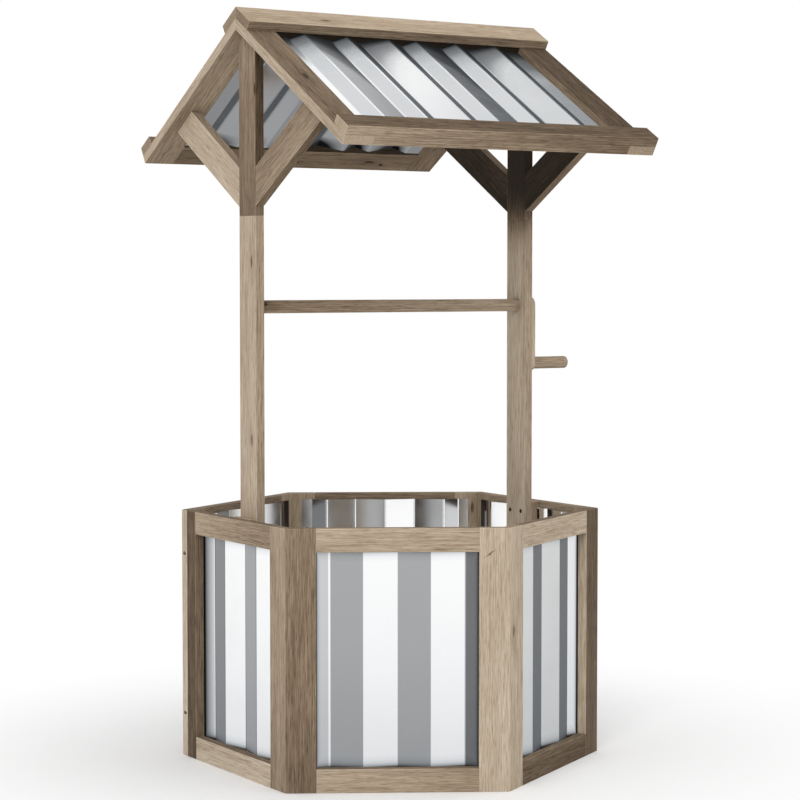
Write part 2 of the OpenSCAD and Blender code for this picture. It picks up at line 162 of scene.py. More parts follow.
def slope_axes(side):
    """Down a slope of the roof, and out of it."""
    cos, sin = math.cos(ROOF_PITCH), math.sin(ROOF_PITCH)
    return Vector((0, side * cos, -sin)), Vector((0, side * sin, cos))


def placed(name, data):
    """A new object in the scene, at the origin."""
    made = bpy.data.objects.new(name, data)
    bpy.context.collection.objects.link(made)
    return made


def keep_on(mesh, rows):
    """Keeps values on a mesh for its material; a row is a name, a kind, a domain and values."""
    fields = {"FLOAT": "value", "FLOAT_VECTOR": "vector"}
    for name, kind, domain, values in rows:
        mesh.attributes.new(name, kind, domain).data.foreach_set(fields[kind], values)


def linear(hex_colour):
    """A colour written as sRGB hex, as Blender's linear red, green, blue and alpha."""
    parts = [int(hex_colour[i:i + 2], 16) / 255 for i in (1, 3, 5)]
    return [c / 12.92 if c <= 0.04045 else ((c + 0.055) / 1.055) ** 2.4 for c in parts] + [1.0]


def add(tree, kind, inputs=None, stops=None, **settings):
    """Adds a node, sets it up, and links or sets its inputs. A node that is given as an input
    stands for its first output. A ramp's stops are hex colours."""
    made = tree.nodes.new(kind)
    for name, value in settings.items():
        setattr(made, name, value)
    if stops:
        elements = made.color_ramp.elements
        while len(elements) < len(stops):
            elements.new(1.0)
        for element, (place, colour) in zip(elements, stops):
            element.position = place
            element.color = linear(colour)
    for name, value in (inputs or {}).items():
        if isinstance(value, bpy.types.Node):
            value = value.outputs[0]
        if isinstance(value, bpy.types.NodeSocket):
            tree.links.new(value, made.inputs[name])
        else:
            made.inputs[name].default_value = value
    return made


def new_material(name):
    material = bpy.data.materials.new(name)
    material.use_nodes = True
    material.node_tree.nodes.clear()
    return material, material.node_tree


def stained_softwood():
    """Planed softwood in a grey-brown stain: fine straight grain that takes the stain unevenly,
    small dark pores, a knot here and there, and edges worn a little lighter, partly as a painted
    highlight."""
    material, tree = new_material("stained softwood")
    marks = {name: add(tree, "ShaderNodeAttribute", attribute_name=name).outputs
             for name in ("grain", "tone", "above_joint", "rubbed", "broad", "from_split")}
    # Patterns lie in board coordinates, in metres along the grain, across the board and through
    # it, times these
    stretches = {
        # Fibre bundles 1.8 mm across and 77 mm long; real ones are finer than a render can show
        "fibres": (13, 560, 560),
        # Pores 1.6 mm across and 25 mm long
        "pores": (40, 620, 620),
        # Broad bands in which the stain took differently, 40 mm across and 350 mm long
        "bands": (2.8, 25, 25),
        # Growth rings 4 mm apart around a pith that lies well outside each board
        "rings": (0.12, 1, 1),
        # Knots: one cell every 160 by 45 mm, of which a few hold a knot 5 mm across
        "knots": (6.2, 22, 0),
    }
    board = marks["grain"]["Vector"]
    spaces = {name: add(tree, "ShaderNodeVectorMath", {0: board, 1: stretch}, operation="MULTIPLY")
              for name, stretch in stretches.items()}
    fibres, pores, bands = (
        add(tree, "ShaderNodeTexNoise", {"Vector": spaces[name], "Scale": 1.0, "Detail": detail,
                                         "Roughness": roughness})
        for name, detail, roughness in (("fibres", 4.0, 0.7), ("pores", 1.5, 0.5),
                                        ("bands", 2.0, 0.5)))
    pore = add(tree, "ShaderNodeMapRange",
               {"Value": pores, "From Min": 0.36, "From Max": 0.47, "To Min": 1.0, "To Max": 0.0})
    rings = add(tree, "ShaderNodeTexWave",
                {"Vector": spaces["rings"], "Scale": 78.0, "Distortion": 5.0, "Detail": 2.0,
                 "Detail Scale": 0.35, "Detail Roughness": 0.5},
                wave_type="RINGS", rings_direction="X", wave_profile="SAW").outputs["Fac"]
    cells = add(tree, "ShaderNodeTexVoronoi",
                {"Vector": spaces["knots"], "Scale": 1.0, "Randomness": 0.9},
                voronoi_dimensions="2D", feature="F1").outputs
    # A knot's core and the halo around it: where in its cell each fades, and how dark it is
    knot = 0.0
    for near, far, darker in ((0.045, 0.085, 0.30), (0.05, 0.34, 0.10)):
        patch = add(tree, "ShaderNodeMapRange",
                    {"Value": cells["Distance"], "From Min": near, "From Max": far,
                     "To Min": 1.0, "To Max": 0.0})
        knot = add(tree, "ShaderNodeMath", {0: patch, 1: darker, 2: knot},
                   operation="MULTIPLY_ADD")
    # Only the cells that draw a high number have one, and it shows on the boards' broad faces
    lottery = add(tree, "ShaderNodeSeparateColor", {"Color": cells["Color"]}).outputs["Red"]
    drawn = add(tree, "ShaderNodeMath", {0: lottery, 1: 0.88}, operation="GREATER_THAN")
    for share in (drawn, marks["broad"]["Fac"]):
        knot = add(tree, "ShaderNodeMath", {0: knot, 1: share}, operation="MULTIPLY")
    # The split at a board's end, from places along and beside it
    place = marks["from_split"]["Vector"]
    wander = add(tree, "ShaderNodeTexNoise",
                 {"Vector": place, "Scale": 90.0, "Detail": 2.0, "Roughness": 0.6})
    place = add(tree, "ShaderNodeSeparateXYZ", {0: place}).outputs
    aside = add(tree, "ShaderNodeMath", {0: wander, 1: 2 * SPLIT["wander"], 2: place["Y"]},
                operation="MULTIPLY_ADD")
    aside = add(tree, "ShaderNodeMath", {0: aside, 1: SPLIT["wander"]}, operation="SUBTRACT")
    aside, along = (add(tree, "ShaderNodeMath", {0: way}, operation="ABSOLUTE")
                    for way in (aside, place["X"]))
    half_width = add(tree, "ShaderNodeMapRange",
                     {"Value": along, "From Max": SPLIT["length"] / 2,
                      "To Min": SPLIT["half_width"], "To Max": 0.0})
    inside = add(tree, "ShaderNodeMath", {0: half_width, 1: aside}, operation="SUBTRACT")
    split = add(tree, "ShaderNodeMapRange",
                {"Value": inside, "From Min": 0.0, "From Max": SPLIT["soft_edge"],
                 "To Max": SPLIT["darker"]})
    # The roof's shade on the right post
    shadow = add(tree, "ShaderNodeMapRange",
                 {"Value": marks["above_joint"]["Fac"], "From Min": -SHADED["below"],
                  "From Max": SHADED["above"], "To Max": SHADED["darker"]},
                 interpolation_type="SMOOTHSTEP")
    # All of these move the board's tone up or down between dark and light stain; the worn edges'
    # lift is partly a painted highlight
    shade = marks["tone"]["Fac"]
    for pattern, lighter in ((fibres, 0.74), (bands, 0.22), (rings, -0.05), (pore, -0.12),
                             (marks["rubbed"]["Fac"], 0.07)):
        shade = add(tree, "ShaderNodeMath", {0: pattern, 1: lighter, 2: shade},
                    operation="MULTIPLY_ADD")
    # The noises' mean is taken off again with the rest
    noise_mean = 0.434
    for darker in (knot, split, shadow, noise_mean):
        shade = add(tree, "ShaderNodeMath", {0: shade, 1: darker}, operation="SUBTRACT")
    stain = add(tree, "ShaderNodeValToRGB", {"Fac": shade},
                stops=[(0.0, "#271e14"), (0.25, "#524333"), (0.5, "#7f6d59"),
                       (0.75, "#ac9a84"), (1.0, "#d4c6b2")])
    rough = add(tree, "ShaderNodeMapRange",
                {"Value": fibres, "From Min": 0.3, "From Max": 0.7,
                 "To Min": 0.78, "To Max": 0.62})
    relief = add(tree, "ShaderNodeMath", {0: pore, 1: -0.6, 2: fibres}, operation="MULTIPLY_ADD")
    bump = add(tree, "ShaderNodeBump", {"Strength": 0.35, "Distance": 0.0005, "Height": relief})
    shader = add(tree, "ShaderNodeBsdfPrincipled",
                 {"Base Color": stain, "Roughness": rough,
                  "Specular IOR Level": 0.16, "Normal": bump})
    add(tree, "ShaderNodeOutputMaterial", {"Surface": shader})
    return material


def galvanised_steel():
    """Smooth zinc-coated sheet: a soft mirror, with painted shade where the boards meet it and on
    its underside along the eaves, and painted shade and reflection of the ridge cap below the cap."""
    material, tree = new_material("galvanised steel")
    place = add(tree, "ShaderNodeTexCoord").outputs["Object"]
    # Clouding of the zinc, patches about 50 mm across
    clouds = add(tree, "ShaderNodeTexNoise",
                 {"Vector": place, "Scale": 20.0, "Detail": 3.0, "Roughness": 0.55})
    # Spangle: the zinc's crystals, about 1.5 mm across, each a little lighter or darker
    spangle = add(tree, "ShaderNodeTexVoronoi", {"Vector": place, "Scale": 650.0})
    crystal = add(tree, "ShaderNodeSeparateColor",
                  {"Color": spangle.outputs["Color"]}).outputs["Red"]
    bright = add(tree, "ShaderNodeMath", {0: crystal, 1: 0.5, 2: clouds}, operation="MULTIPLY_ADD")
    tint = add(tree, "ShaderNodeMix", {0: bright, 6: linear("#f9fafb"), 7: linear("#ffffff")},
               data_type="RGBA").outputs[2]
    rough = add(tree, "ShaderNodeMapRange",
                {"Value": clouds, "From Min": 0.3, "From Max": 0.7,
                 "To Min": 0.10, "To Max": 0.14})
    # What the mesh keeps: distances in metres from the boards around the sheet, which way its
    # faces lean, and how bright some facets are painted
    rails, stiles, eave = (add(tree, "ShaderNodeAttribute", attribute_name=name).outputs["Vector"]
                           for name in ("from_rails", "from_stiles", "from_eave"))
    cap, cap_fade_power, aslant, outside, brightness = (
        add(tree, "ShaderNodeAttribute", attribute_name=name).outputs["Fac"]
        for name in ("from_cap", "cap_fade_power", "aslant", "outside", "brightness"))
    rails, stiles, eave = (add(tree, "ShaderNodeSeparateXYZ", {0: ways}).outputs
                           for ways in (rails, stiles, eave))
    nearest, beside = (add(tree, "ShaderNodeMath", {0: ways["X"], 1: ways["Y"]},
                           operation="MINIMUM") for ways in (rails, stiles))
    # The painted shade is narrower and mostly hidden beside the stiles
    beside = add(tree, "ShaderNodeMath", {0: beside, 1: 2.5, 2: 0.009}, operation="MULTIPLY_ADD")
    nearest = add(tree, "ShaderNodeMath", {0: nearest, 1: beside}, operation="MINIMUM")
    # From 4 mm behind the boards to 20 mm away from them
    reach = add(tree, "ShaderNodeMapRange",
                {"Value": nearest, "From Min": -0.004, "From Max": 0.020})
    # Painted shade where the sheet meets the rails and stiles
    board_shade = add(tree, "ShaderNodeValToRGB", {"Fac": reach},
                 stops=[(0.0, "#20211f"), (0.12, "#585955"), (0.17, "#9a9c9b"),
                        (0.25, "#bcbfc0"), (0.40, "#e0e2e4"), (0.62, "#f4f5f6"), (1.0, "#ffffff")])
    # Painted shade and reflection of the ridge cap below it, reaching further down on facets that
    # face right
    reach = cap
    for operation, value in (("DIVIDE", CAP_SHADE_L), ("MULTIPLY", aslant), ("MAXIMUM", 0.0),
                             ("POWER", cap_fade_power)):
        reach = add(tree, "ShaderNodeMath", {0: reach, 1: value}, operation=operation)
    cap_shade = add(tree, "ShaderNodeValToRGB", {"Fac": reach},
                   stops=[(0.0, "#1c1e21"), (0.047, "#3c3e41"), (0.073, "#4e5053"),
                          (0.113, "#696b6d"), (0.207, "#85878a"), (0.305, "#9fa1a3"),
                          (0.44, "#d6d8d9"), (0.65, "#f9fafa"), (1.0, "#ffffff")])
    # In that painted shade the zinc's crystals stand out more
    cap_speckle = add(tree, "ShaderNodeMapRange",
                    {"Value": cap, "From Min": 0.03, "From Max": 0.20,
                     "To Min": 0.20, "To Max": 0.0})
    speck = add(tree, "ShaderNodeMath", {0: cap_speckle, 1: crystal}, operation="MULTIPLY")
    cap_shade = add(tree, "ShaderNodeMix",
                   {0: speck, 6: cap_shade, 7: (0, 0, 0, 1)}, data_type="RGBA").outputs[2]
    # Where that painted shade is dark the steel is no mirror
    bare = add(tree, "ShaderNodeMapRange",
               {"Value": cap_shade, "From Min": 0.0, "From Max": 0.11, "To Min": 0.05})
    bare = add(tree, "ShaderNodeMix", {0: outside, 2: 1.0, 3: bare})
    # Underneath, painted shade darkens the roof's sheets along the eaves, most at the crests of
    # the folds
    eave_shade = add(tree, "ShaderNodeMapRange",
                {"Value": eave["X"], "From Max": EAVE_SHADE["length"],
                 "To Min": EAVE_SHADE["strength"], "To Max": 0.0})
    eave_shade = add(tree, "ShaderNodeMath", {0: eave_shade, 1: eave["Y"]}, operation="MULTIPLY")
    eave_shade = add(tree, "ShaderNodeMath", {0: eave_shade, 1: outside}, operation="SUBTRACT",
                use_clamp=True)
    zinc = add(tree, "ShaderNodeMix", {0: eave_shade, 6: tint, 7: linear("#101315")},
               data_type="RGBA").outputs[2]
    # The painted shade beside the boards, below the cap and on the darker facets shows outside
    # only
    for dulled in (board_shade, cap_shade, brightness):
        zinc = add(tree, "ShaderNodeMix", {0: outside, 6: zinc, 7: dulled},
                   data_type="RGBA", blend_type="MULTIPLY").outputs[2]
    # The flats of thin sheet are never quite flat: waves about 120 mm long
    waves = add(tree, "ShaderNodeTexNoise",
                {"Vector": place, "Scale": 8.0, "Detail": 0.0, "Roughness": 0.5})
    bump = add(tree, "ShaderNodeBump", {"Strength": 0.15, "Distance": 0.0015, "Height": waves})
    shader = add(tree, "ShaderNodeBsdfPrincipled",
                 {"Base Color": zinc, "Metallic": bare, "Specular IOR Level": 0.0,
                  "Roughness": rough, "Normal": bump})
    add(tree, "ShaderNodeOutputMaterial", {"Surface": shader})
    return material


def blackened_screw_steel():
    """Hardened steel screws, phosphated nearly black and rubbed brighter here and there."""
    material, tree = new_material("phosphated screw steel")
    place = add(tree, "ShaderNodeTexCoord").outputs["Object"]
    # Rubbed spots about 2 mm across
    spots = add(tree, "ShaderNodeTexNoise",
                {"Vector": place, "Scale": 500.0, "Detail": 2.0, "Roughness": 0.6})
    tint = add(tree, "ShaderNodeMix", {0: spots, 6: linear("#1d1b19"), 7: linear("#413d39")},
               data_type="RGBA")
    rough = add(tree, "ShaderNodeMapRange", {"Value": spots, "To Min": 0.55, "To Max": 0.35})
    shader = add(tree, "ShaderNodeBsdfPrincipled",
                 {"Base Color": tint.outputs[2], "Metallic": 1.0, "Roughness": rough})
    add(tree, "ShaderNodeOutputMaterial", {"Surface": shader})
    return material


softwood = stained_softwood()
steel = galvanised_steel()
screw_steel = blackened_screw_steel()
SLOT_MATERIALS = {"light_wood": softwood, "mid_wood": softwood, "dark_wood": softwood,
                  "sheet_steel": steel, "screw_steel": screw_steel}
slots = {part["node"]: part["material_slot"] for part in frame["record"]["subparts"]}


def all_board_axes():
    """Each board's directions: along its grain, across its face, and out of its face."""
    axes = {}
    for panel, degrees in PANELS.items():
        out, right = side_axes(degrees)
        for stile in ("left_stile", "right_stile"):
            axes[f"{panel}_panel_{stile}"] = (UP, right, out)
        for rail in ("top_rail", "bottom_rail"):
            axes[f"{panel}_panel_{rail}"] = (right, UP, out)
    for end in ENDS:
        axes[f"{end}_lower_post"] = (UP, Y, X)
        axes[f"{end}_upper_post"] = (UP, Y, X)
        for slope, side in SLOPES.items():
            along = Vector((0, side * math.cos(BRACE_PITCH), math.sin(BRACE_PITCH)))
            axes[f"{end}_{slope}_brace"] = (along, X.cross(along), X)
    for slope, side in SLOPES.items():
        down, out = slope_axes(side)
        for stile in ("left_stile", "right_stile"):
            axes[f"{slope}_roof_{stile}"] = (down, X, out)
        for rail in ("eave_rail", "ridge_rail", "eave_trim", "ridge_cap"):
            axes[f"{slope}_roof_{rail}"] = (X, down, out)
    for node in ("windlass_bar", "crank_handle", "dowels"):
        axes[node] = (X, UP, Y)
    for node in ("crank_arm", "corner_tongues"):
        axes[node] = (UP, Y, X)
    axes["post_packers"] = (Y, UP, X)
    return axes


# How light each board is on its faces, its edges and its ends: the stain's own uneven tone, and
# also painted light and shade, darkest on the braces and upper posts under the roof and on the
# ridge rails' edges
TONES = {
    "left_panel_left_stile": (0.31, 0.46, 0.4),
    "left_panel_right_stile": (0.64, 0.6, 0.5),
    "left_panel_top_rail": (0.66, 0.4, 0.5),
    "left_panel_bottom_rail": (0.86, 0.45, 0.5),
    "back_left_panel_right_stile": (0.6, 0.85, 0.5),
    "front_left_panel_left_stile": (0.48, 0.5, 0.4),
    "front_left_panel_right_stile": (0.81, 0.75, 0.6),
    "front_left_panel_top_rail": (0.71, 0.5, 0.6),
    "front_left_panel_bottom_rail": (0.69, 0.45, 0.6),
    "front_right_panel_left_stile": (0.82, 0.7, 0.6),
    "front_right_panel_right_stile": (0.35, 0.75, 0.4),
    "front_right_panel_top_rail": (0.8, 0.45, 0.6),
    "front_right_panel_bottom_rail": (0.34, 0.4, 0.4),
    "left_lower_post": (0.79, 0.68, 0.6),
    "left_upper_post": (0.5, 0.3, 0.5),
    "right_lower_post": (0.8, 0.68, 0.6),
    "right_upper_post": (0.8, 0.72, 0.3),
    "left_front_brace": (0.59, 0.37, 0.5),
    "left_rear_brace": (0.81, 0.62, 0.5),
    "right_front_brace": (-0.02, 0.47, 0.4),
    "right_rear_brace": (0.03, 0.38, 0.4),
    "front_roof_ridge_cap": (0.7, 0.52, 0.56),
    "rear_roof_ridge_cap": (0.66, 0.5, 0.58),
    "front_roof_left_stile": (0.39, 0.75, 0.76),
    "rear_roof_left_stile": (0.6, 0.77, 0.5),
    "front_roof_right_stile": (0.22, 0.48, 0.65),
    "rear_roof_right_stile": (0.41, 0.5, 0.55),
    "front_roof_eave_trim": (0.3, 0.53, 0.74),
    "rear_roof_eave_trim": (0.45, 0.41, 0.6),
    "front_roof_eave_rail": (0.5, 0.53, 0.6),
    "rear_roof_eave_rail": (0.40, 0.39, 0.5),
    "front_roof_ridge_rail": (0.4, -0.05, 0.4),
    "rear_roof_ridge_rail": (0.4, -0.05, 0.4),
    "windlass_bar": (0.61, 0.56, 0.5),
    "crank_arm": (0.78, 0.77, 0.6),
    "crank_handle": (0.65, 0.62, 0.55),
}


# Painted light and shade along some boards: how much lighter they get per metre, on faces and
# edges
PAINTED_LIGHT_DRIFTS = {
    "left_panel_right_stile": (0.25, 0),
    "left_panel_top_rail": (-0.42, 0),
    "front_left_panel_left_stile": (0.18, 0),
    "front_left_panel_bottom_rail": (-0.45, 0),
    "left_upper_post": (0.5, -0.8),
    "left_front_brace": (0, -0.5),
    "front_roof_eave_trim": (0, -0.45),
    "front_roof_eave_rail": (0, -0.45),
    "windlass_bar": (0.35, 0),
}


def split_place(point):
    """A point's place along and beside the split, on the outside of its board."""
    out, right = side_axes(PANELS[SPLIT["panel"]])
    inwards = APOTHEM - (point - MIDDLE).dot(out)
    across = (point - MIDDLE).dot(right) - SPLIT["across"]
    rise = point.z - SPLIT["height"]
    cos, sin = math.cos(SPLIT["slant"]), math.sin(SPLIT["slant"])
    return across * cos + rise * sin, rise * cos - across * sin + inwards, inwards


# Edges that are rubbed round: how sharp, how long, and the areas of the faces beside them, of
# which the larger one counts at the crank arm's round ends
RUBBED = {"angle": math.radians(35), "length": 0.008, "smaller_face": 1e-4, "larger_face": 1e-3}
# Boards without a tone of their own get a drawn one, a little darker on their edges and ends
DRAWN_TONE = {"least": 0.55, "spread": 0.25, "edges_darker": 0.05, "ends_darker": 0.12}
# Where boards were cut from their logs: how far round the pith, from it, and along it in metres
LOG = {"round": (0.6, 2.5), "from_pith": (0.04, 0.09), "along": (-4, 4)}


def make_board(node, axes, seed):
    """A copy of a board with its sharp edges taken off, and what the stain needs to know."""
    along, across, out = axes
    mesh = bpy.data.meshes.new(f"board_{node}")
    bm = bmesh.new()
    bm.from_mesh(frame["nodes"][node].data)
    bmesh.ops.remove_doubles(bm, verts=bm.verts, dist=MERGE_D)
    bmesh.ops.dissolve_limit(bm, angle_limit=FLAT_ANGLE, verts=bm.verts, edges=bm.edges)
    sharp = []
    for edge in bm.edges:
        if len(edge.link_faces) != 2 or edge.calc_face_angle_signed() < RUBBED["angle"]:
            continue
        areas = sorted(face.calc_area() for face in edge.link_faces)
        straight = edge.calc_length() > RUBBED["length"] and areas[0] > RUBBED["smaller_face"]
        round_end = node == "crank_arm" and areas[1] > RUBBED["larger_face"]
        if straight or round_end:
            sharp.append(edge)
    bevel = bmesh.ops.bevel(bm, geom=sharp, offset=ARRIS_W, offset_type="OFFSET", segments=2,
                            profile=0.5, affect="EDGES", clamp_overlap=True)
    worn = set(bevel["faces"])
    rng = random.Random(seed)
    drawn = DRAWN_TONE["least"] + DRAWN_TONE["spread"] * rng.random()
    own_tones = TONES.get(node, (drawn, drawn - DRAWN_TONE["edges_darker"],
                                 drawn - DRAWN_TONE["ends_darker"]))
    middle = sum((v.co for v in bm.verts), Vector()) / len(bm.verts)
    tones = []
    shades = []
    worn_and_highlit = []
    broad = []
    for face in bm.faces:
        parts = [abs(face.normal.dot(a)) for a in (out, across, along)]
        # 0 for the board's broad faces, 1 for its edges and 2 for its ends
        side = parts.index(max(parts))
        tone = own_tones[side]
        # Painted light and shade along the board's length
        drift = (*PAINTED_LIGHT_DRIFTS.get(node, (0, 0)), 0)[side]
        outer = face.normal.dot(out) > FACING
        if outer and node in OUTER_TONES:
            tone = OUTER_TONES[node]
            drift = 0
        # Painted shade under the sheets on the eave rails' inner edges
        if node in PAINTED_SHADE_EDGES["boards"] and face.normal.dot(across) < -FACING:
            tone = PAINTED_SHADE_EDGES["tone"]
            drift = 0
        # Painted shade inside the closing screws' bores
        if (node in BORED["boards"] and face not in worn and max(parts) < BORED["askew"]
                and face.calc_area() < BORED["largest_face"]):
            tone = BORED["tone"]
        shaded = node in SHADED["boards"] and not outer
        start_h = POST_JOINT_H + (SHADED["edges_higher"] if side == 1 else 0)
        for vertex in face.verts:
            tones.append(tone + drift * (vertex.co - middle).dot(along))
            shades.append(vertex.co.z - start_h if shaded else -SHADED["below"])
        # Bevelled edges are worn lighter, partly as a painted highlight
        worn_and_highlit.append(1.0 if face in worn else 0.0)
        broad.append(1.0 if side == 0 else 0.0)
    bm.to_mesh(mesh)
    bm.free()
    turn = rng.uniform(*LOG["round"])
    far = rng.uniform(*LOG["from_pith"])
    shift = Vector((rng.uniform(*LOG["along"]), far * math.cos(turn), far * math.sin(turn)))
    grain = []
    splits = []
    for vertex in mesh.vertices:
        from_middle = vertex.co - middle
        grain.extend(shift + Vector([from_middle.dot(a) for a in (along, across, out)]))
        splits.extend(split_place(vertex.co) if node == SPLIT["board"] else NO_SPLIT)
    keep_on(mesh, (("grain", "FLOAT_VECTOR", "POINT", grain),
                   ("from_split", "FLOAT_VECTOR", "POINT", splits),
                   ("tone", "FLOAT", "CORNER", tones),
                   ("above_joint", "FLOAT", "CORNER", shades),
                   ("rubbed", "FLOAT", "FACE", worn_and_highlit),
                   ("broad", "FLOAT", "FACE", broad)))
    mesh.shade_smooth()
    mesh.set_sharp_from_angle(angle=SMOOTH_ANGLE)
    mesh.materials.append(SLOT_MATERIALS[slots[node]])
    return placed(f"board_{node}", mesh)


CRANK = ("windlass_bar", "crank_arm", "crank_handle")
# The steel doesn't mirror these, which would fill the folds beside them with brown
UNMIRRORED = {"left_panel_left_stile", "back_left_panel_right_stile",
              "front_right_panel_right_stile", "right_panel_left_stile",
              "dowels", "corner_tongues", "post_packers"}
UNMIRRORED |= {f"{panel}_panel_{board}" for panel in PANELS
               for board in ("bottom_rail", "sheet")}
UNMIRRORED |= {f"{slope}_roof_{board}" for slope in SLOPES
               for board in ("ridge_cap", "ridge_rail", "left_stile", "right_stile",
                             "eave_rail", "eave_trim", "sheet")}
UNMIRRORED |= {f"{end}_{board}" for end in ENDS
               for board in ("upper_post", "front_brace", "rear_brace")}
FIRST_SEED = 700
for number, (node, axes) in enumerate(sorted(all_board_axes().items())):
    piece = make_board(node, axes, FIRST_SEED + number)
    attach(piece, "windlass" if node in CRANK else "well")
    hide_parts(node)
    piece.visible_glossy = node not in UNMIRRORED


def geometry_tree(name, source, sizes, result):
    """A geometry tree that takes a source, sizes in metres and a finish, and gives a result."""
    tree = bpy.data.node_groups.new(name, "GeometryNodeTree")
    sockets = [(source, "Geometry", "INPUT"), *((size, "Float", "INPUT") for size in sizes),
               ("Finish", "Material", "INPUT"), (result, "Geometry", "OUTPUT")]
    for label, kind, way in sockets:
        tree.interface.new_socket(name=label, in_out=way, socket_type=f"NodeSocket{kind}")
    return tree, add(tree, "NodeGroupInput").outputs


def end_tree(tree, geometry, finish):
    """Each tree ends in real mesh with its material, because the export drops instances."""
    real = add(tree, "GeometryNodeRealizeInstances", {0: geometry})
    done = add(tree, "GeometryNodeSetMaterial", {"Geometry": real, "Material": finish})
    add(tree, "NodeGroupOutput", {0: done})


def folded_sheet_tree():
    """Sheet steel folded along lines: rounds the bends of an outline, draws it out to length,
    and cuts a notch at each end."""
    tree, given = geometry_tree("folded sheet", "Outline", (
        "Bend Radius", "Length", "Notch Half Width", "Notch Depth"), "Sheet")
    curve = add(tree, "GeometryNodeMeshToCurve", {"Mesh": given["Outline"]})
    bends = add(tree, "GeometryNodeFilletCurve",
                {"Curve": curve, "Radius": given["Bend Radius"], "Count": 6,
                 "Limit Radius": True}, mode="POLY")
    # The sheet grows in three steps: past the first notch, up to the second, and past it
    middle_part = add(tree, "ShaderNodeMath",
                      {0: given["Notch Depth"], 1: -2.0, 2: given["Length"]},
                      operation="MULTIPLY_ADD")
    grown = add(tree, "GeometryNodeCurveToMesh", {"Curve": bends})
    selected = {}
    for height in (given["Notch Depth"], middle_part, given["Notch Depth"]):
        rise = add(tree, "ShaderNodeCombineXYZ", {"Z": height})
        grown = add(tree, "GeometryNodeExtrudeMesh", {"Mesh": grown, "Offset": rise, **selected},
                    mode="EDGES")
        selected = {"Selection": grown.outputs["Top"]}
    place = add(tree, "ShaderNodeSeparateXYZ", {0: add(tree, "GeometryNodeInputPosition")}).outputs
    half, half_plain = (add(tree, "ShaderNodeMath", {0: whole, 1: 0.5}, operation="MULTIPLY")
                        for whole in (given["Length"], middle_part))
    above_half = add(tree, "ShaderNodeMath", {0: place["Z"], 1: half}, operation="SUBTRACT")
    from_middle, from_half = (add(tree, "ShaderNodeMath", {0: way}, operation="ABSOLUTE")
                              for way in (place["X"], above_half))
    within = add(tree, "ShaderNodeMath", {0: from_middle, 1: given["Notch Half Width"]},
                 operation="LESS_THAN")
    at_end = add(tree, "ShaderNodeMath", {0: from_half, 1: half_plain}, operation="GREATER_THAN")
    cut = add(tree, "ShaderNodeMath", {0: within, 1: at_end}, operation="MULTIPLY")
    notched = add(tree, "GeometryNodeDeleteGeometry", {"Geometry": grown, "Selection": cut},
                  domain="FACE")
    end_tree(tree, notched, given["Finish"])
    return tree


def baked(name, source_mesh, tree, values, thickness=0.0):
    """Runs a geometry tree on a mesh and returns the result as a plain object."""
    holder = placed(f"{name}_source", source_mesh)
    modifier = holder.modifiers.new("tree", "NODES")
    modifier.node_group = tree
    for item in tree.interface.items_tree:
        if item.name in values:
            modifier[item.identifier] = values[item.name]
    if thickness:
        wall = holder.modifiers.new("thickness", "SOLIDIFY")
        wall.thickness = thickness
        wall.offset = -1.0
        wall.use_even_offset = True
    evaluated = holder.evaluated_get(bpy.context.evaluated_depsgraph_get())
    mesh = bpy.data.meshes.new_from_object(evaluated)
    bpy.data.objects.remove(holder)
    return placed(name, mesh)


def smooth_bends_only(piece):
    """Shades the bends smooth and leaves the flats between them truly flat."""
    piece.data.shade_smooth()
    piece.data.set_sharp_from_angle(angle=SMOOTH_ANGLE)
    flats = piece.modifiers.new("flats", "WEIGHTED_NORMAL")
    flats.keep_sharp = True
    evaluated = piece.evaluated_get(bpy.context.evaluated_depsgraph_get())
    piece.data = bpy.data.meshes.new_from_object(evaluated)
    piece.modifiers.clear()


def both_halves(half):
    return [(-x, depth) for x, depth in reversed(half[1:])] + half


# Facets darkened by a painted reflection of the dark stile beside them: sheet, from where to where
# across it in metres, and how bright it is at either edge
PAINTED_DARK_FACETS = [("left_panel_sheet", (-0.151, -0.121), (0.0, 1.0)),
               ("left_panel_sheet", (-0.121, -0.0605), (0.64, 0.64))]


